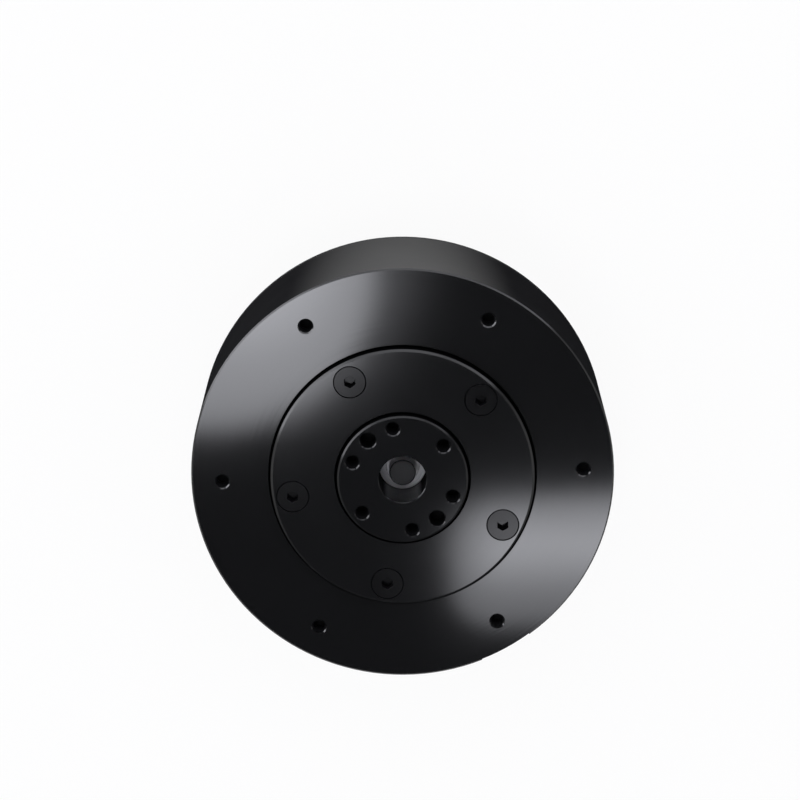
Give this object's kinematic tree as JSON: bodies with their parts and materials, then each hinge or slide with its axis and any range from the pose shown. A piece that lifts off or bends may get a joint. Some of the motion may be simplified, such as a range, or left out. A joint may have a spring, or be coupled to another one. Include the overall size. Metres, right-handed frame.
{
  "type": "robot joint actuator",
  "caption": "Round black geared motor for a robot joint: flat front ring with mounting holes, raised centre cover and a turning output flange.",
  "frame": {"origin": "centre of the rear cover's outer face, on the output axis", "axes": "+Z along the output axis, from the rear cover towards the output flange; +X through one of the six front mounting holes"},
  "size_m": [0.0796, 0.0796, 0.0395],
  "materials": {
    "black_anodised": "black hard anodised, satin-gloss",
    "black_oxide_steel": "black oxide screws",
    "zinc_steel": "plated small screws",
    "bearing_steel": "ground bearing steel",
    "ball_steel": "polished balls",
    "gear_steel": "cut and hardened teeth",
    "shaft_steel": "dark hardened shaft",
    "bronze": "sintered bronze bushes",
    "machined_aluminium": "clear machined aluminium",
    "rotor_steel": "turned steel ring",
    "magnet_nickel": "nickel-plated magnets",
    "lamination_steel": "coated lamination stack",
    "copper_enamel": "enamelled copper winding",
    "lead_insulation": "silicone-insulated leads",
    "board_laminate": "dark solder mask",
    "chip_epoxy": "moulded epoxy",
    "capacitor_can": "can with printed end",
    "power_nylon": "yellow nylon",
    "data_nylon": "ivory nylon",
    "gold_contact": "gold-plated contacts"
  },
  "bodies": {
    "root": {"front_housing": "black_anodised", "channel_cover": "black_anodised", "gearbox_cover": "black_anodised", "back_plate": "black_anodised", "rear_cover": "black_anodised", "cover_screws": "black_oxide_steel", "back_plate_screws": "black_oxide_steel", "rear_cover_screws": "black_oxide_steel", "board_screws": "zinc_steel", "output_bearing_outer": "bearing_steel", "carrier_bearing_outer": "bearing_steel", "bearing_holder": "machined_aluminium", "rotor_bearing_outer": "bearing_steel", "ring_gear": "gear_steel", "stator_core": "lamination_steel", "stator_coils": "copper_enamel", "phase_leads": "lead_insulation", "driver_board": "board_laminate", "power_switches": "chip_epoxy", "control_chips": "chip_epoxy", "encoder_chip": "chip_epoxy", "bus_capacitors": "capacitor_can", "power_socket": "power_nylon", "power_pins": "gold_contact", "data_socket_a": "data_nylon", "data_socket_b": "data_nylon", "data_pins": "gold_contact"},
    "carrier": {"output_flange": "black_anodised", "carrier_rear_plate": "machined_aluminium", "carrier_screws": "zinc_steel", "planet_pins": "gear_steel", "output_bearing_inner": "bearing_steel", "output_bearing_balls": "ball_steel", "carrier_bearing_inner": "bearing_steel", "carrier_bearing_balls": "ball_steel", "nose_bearing_outer": "bearing_steel", "nose_bearing_shield": "bearing_steel"},
    "rotor": {"rotor_hub": "machined_aluminium", "rotor_ring": "rotor_steel", "rotor_magnets": "magnet_nickel", "sun_shaft": "shaft_steel", "encoder_magnet": "magnet_nickel", "rotor_bearing_inner": "bearing_steel", "rotor_bearing_balls": "ball_steel", "nose_bearing_inner": "bearing_steel", "nose_bearing_balls": "ball_steel"},
    "planet_1": {"planet_gear_1": "gear_steel", "planet_bush_1": "bronze"},
    "planet_2": {"planet_gear_2": "gear_steel", "planet_bush_2": "bronze"},
    "planet_3": {"planet_gear_3": "gear_steel", "planet_bush_3": "bronze"}
  },
  "joints": [
    {"name": "output_spin", "type": "hinge", "parent": "root", "child": "carrier", "pos_m": [0, 0, 0.0395], "axis": [0, 0, 1], "continuous": true},
    {"name": "rotor_spin", "type": "hinge", "parent": "root", "child": "rotor", "pos_m": [0, 0, 0], "axis": [0, 0, 1], "continuous": true},
    {"name": "planet_spin_1", "type": "hinge", "parent": "carrier", "child": "planet_1", "pos_m": [0.0108, 0, 0], "axis": [0, 0, 1], "continuous": true},
    {"name": "planet_spin_2", "type": "hinge", "parent": "carrier", "child": "planet_2", "pos_m": [-0.0054, 0.00935, 0], "axis": [0, 0, 1], "continuous": true},
    {"name": "planet_spin_3", "type": "hinge", "parent": "carrier", "child": "planet_3", "pos_m": [-0.0054, -0.00935, 0], "axis": [0, 0, 1], "continuous": true}
  ],
  "couplings": [
    {"joint": "rotor_spin", "follows": "output_spin", "ratio": 6},
    {"joint": "planet_spin_1", "follows": "output_spin", "ratio": -2.5},
    {"joint": "planet_spin_2", "follows": "output_spin", "ratio": -2.5},
    {"joint": "planet_spin_3", "follows": "output_spin", "ratio": -2.5}
  ]
}
